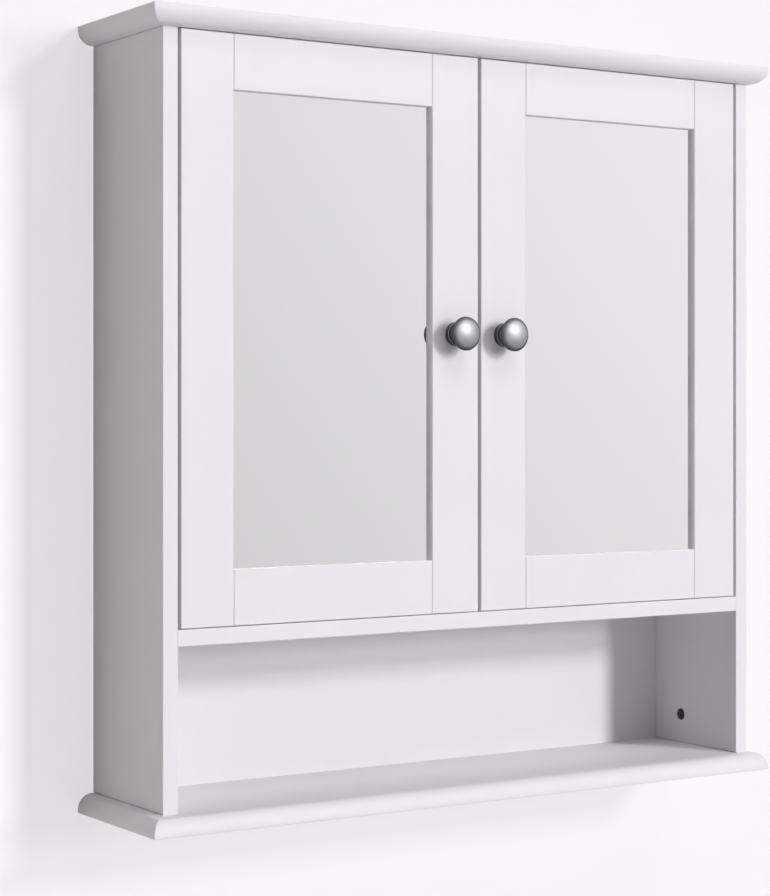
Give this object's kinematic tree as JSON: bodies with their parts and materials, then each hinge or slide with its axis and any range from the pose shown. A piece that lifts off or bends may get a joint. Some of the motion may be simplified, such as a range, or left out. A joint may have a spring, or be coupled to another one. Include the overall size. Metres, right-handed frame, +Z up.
{
  "type": "bathroom mirror cabinet",
  "caption": "White wall-hung bathroom cabinet with inset framed mirror doors on concealed hinges, turned metal knobs, moulded top and bottom boards and an open shelf below.",
  "frame": {"origin": "on the wall plane, at the middle of the bottom board's lower rear edge", "axes": "+X to the right seen from the front, +Y into the wall, +Z up; the doors face -Y"},
  "size_m": [0.565, 0.1333, 0.58],
  "materials": {
    "white_lacquer": "satin white lacquer on fibreboard",
    "white_board": "thin fibreboard with a white face",
    "silvered_glass": "polished, silvered behind",
    "satin_nickel": "satin nickel on a zinc casting",
    "nickel_plate": "nickel plated",
    "zinc_plated_steel": "zinc plated",
    "zinc": "dull zinc casting",
    "magnet_steel": "ground steel pole plates",
    "beech": "fluted beech",
    "white_plastic": "moulded white plastic"
  },
  "bodies": {
    "carcass": {"adjustable_shelf": "white_lacquer", "back_panel": "white_board", "bottom_board": "white_lacquer", "cam_bolts": "zinc_plated_steel", "cam_locks": "zinc", "catch_housing": "white_plastic", "catch_magnets": "magnet_steel", "catch_screws": "zinc_plated_steel", "fixed_shelf": "white_lacquer", "hanging_rail": "white_lacquer", "hinge_arm_screws": "zinc_plated_steel", "hinge_plate_screws": "zinc_plated_steel", "left_lower_hinge_arm": "nickel_plate", "left_lower_hinge_plate": "nickel_plate", "left_side_panel": "white_lacquer", "left_upper_hinge_arm": "nickel_plate", "left_upper_hinge_plate": "nickel_plate", "right_lower_hinge_arm": "nickel_plate", "right_lower_hinge_plate": "nickel_plate", "right_side_panel": "white_lacquer", "right_upper_hinge_arm": "nickel_plate", "right_upper_hinge_plate": "nickel_plate", "shelf_pins": "zinc_plated_steel", "top_board": "white_lacquer", "wood_dowels": "beech"},
    "left_door": {"left_bottom_rail": "white_lacquer", "left_cup_screws": "zinc_plated_steel", "left_hinge_cups": "nickel_plate", "left_hinge_pins": "zinc_plated_steel", "left_hinge_stile": "white_lacquer", "left_knob": "satin_nickel", "left_knob_screw": "zinc_plated_steel", "left_knob_stile": "white_lacquer", "left_mirror": "silvered_glass", "left_mirror_backing": "white_board", "left_strike_plate": "zinc_plated_steel", "left_strike_screw": "zinc_plated_steel", "left_top_rail": "white_lacquer"},
    "right_door": {"right_bottom_rail": "white_lacquer", "right_cup_screws": "zinc_plated_steel", "right_hinge_cups": "nickel_plate", "right_hinge_pins": "zinc_plated_steel", "right_hinge_stile": "white_lacquer", "right_knob": "satin_nickel", "right_knob_screw": "zinc_plated_steel", "right_knob_stile": "white_lacquer", "right_mirror": "silvered_glass", "right_mirror_backing": "white_board", "right_strike_plate": "zinc_plated_steel", "right_strike_screw": "zinc_plated_steel", "right_top_rail": "white_lacquer"}
  },
  "joints": [
    {"name": "left_door_swing", "type": "hinge", "parent": "carcass", "child": "left_door", "pos_m": [-0.2455, -0.106, 0.3545], "axis": [0, 0, -1], "range_deg": [0, 95]},
    {"name": "right_door_swing", "type": "hinge", "parent": "carcass", "child": "right_door", "pos_m": [0.2455, -0.106, 0.3545], "axis": [0, 0, 1], "range_deg": [0, 95]}
  ]
}
